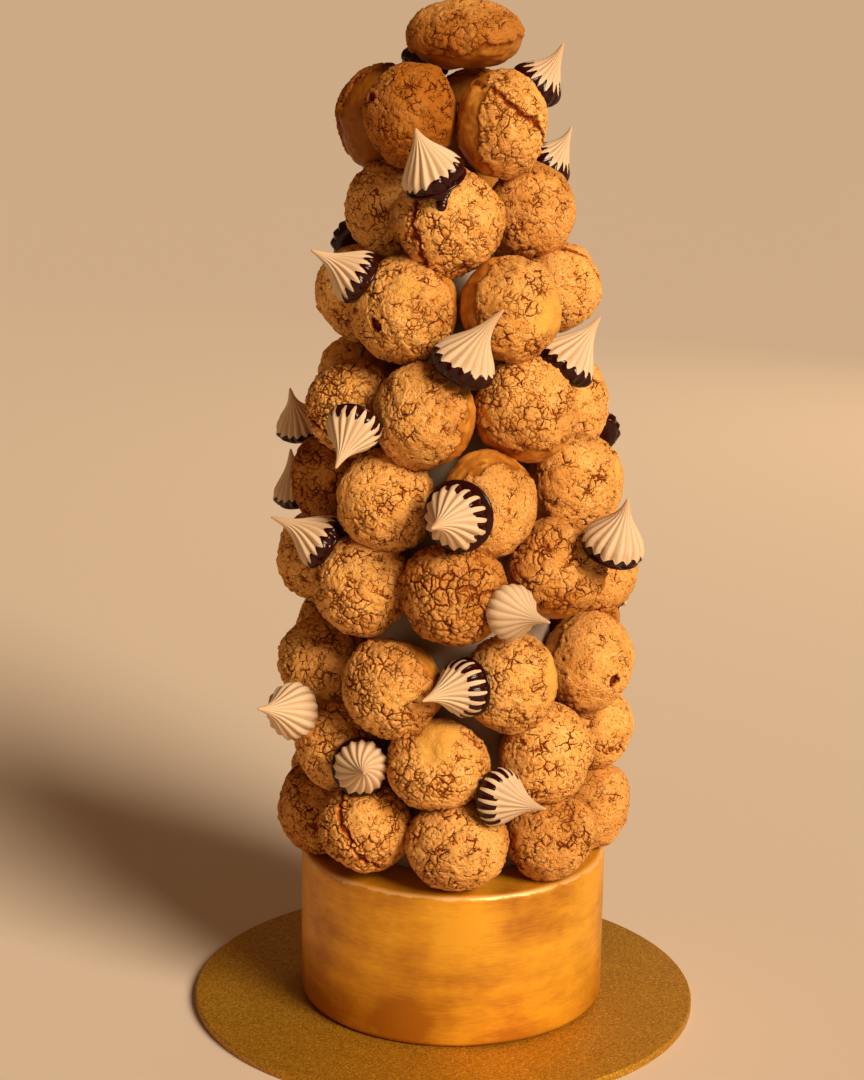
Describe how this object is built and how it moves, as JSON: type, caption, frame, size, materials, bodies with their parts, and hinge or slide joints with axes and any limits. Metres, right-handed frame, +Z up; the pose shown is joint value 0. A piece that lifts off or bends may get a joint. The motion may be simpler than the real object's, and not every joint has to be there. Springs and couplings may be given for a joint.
{
  "type": "croquembouche",
  "caption": "Tall tower of craquelin-topped cream puffs with piped meringue kisses, standing on a round gold tier and a gold board.",
  "frame": {"origin": "centre of the board's underside", "axes": "+Z up the tower, -Y towards the front, +X to the right seen from the front"},
  "size_m": [0.252, 0.252, 0.4968],
  "materials": {
    "board": "fine gold glitter foil over board",
    "tier": "brushed edible gold paint over smooth icing",
    "core": "matte white foam",
    "puff": "baked choux: matte cracked craquelin cap, glossy golden dough",
    "kiss": "matte cream meringue with a glossy dark chocolate base"
  },
  "bodies": {
    "root": {"board": "board", "tier": "tier", "core": "core", "puffs_low_1": "puff", "puffs_low_2": "puff", "puffs_low_3": "puff", "puffs_low_4": "puff", "puffs_low_5": "puff", "puffs_low_6": "puff", "puffs_low_7": "puff", "puffs_low_8": "puff", "puffs_low_9": "puff", "puffs_mid_1": "puff", "puffs_mid_2": "puff", "puffs_mid_3": "puff", "puffs_mid_4": "puff", "puffs_mid_5": "puff", "puffs_mid_6": "puff", "puffs_mid_7": "puff", "puffs_mid_8": "puff", "puffs_high_1": "puff", "puffs_high_2": "puff", "puffs_high_3": "puff", "puffs_high_4": "puff", "puffs_high_5": "puff", "puffs_high_6": "puff", "puffs_high_7": "puff", "puff_top": "puff", "kiss_01": "kiss", "kiss_02": "kiss", "kiss_03": "kiss", "kiss_04": "kiss", "kiss_05": "kiss", "kiss_06": "kiss", "kiss_07": "kiss", "kiss_08": "kiss", "kiss_09": "kiss", "kiss_10": "kiss", "kiss_11": "kiss", "kiss_12": "kiss", "kiss_13": "kiss", "kiss_14": "kiss", "kiss_15": "kiss", "kiss_16": "kiss", "kiss_17": "kiss", "kiss_18": "kiss", "kiss_19": "kiss", "kiss_20": "kiss", "kiss_21": "kiss", "kiss_22": "kiss", "kiss_23": "kiss", "kiss_24": "kiss", "kiss_25": "kiss", "kiss_26": "kiss", "kiss_27": "kiss", "kiss_28": "kiss", "kiss_29": "kiss", "kiss_30": "kiss", "kiss_31": "kiss", "kiss_32": "kiss"}
  },
  "joints": []
}
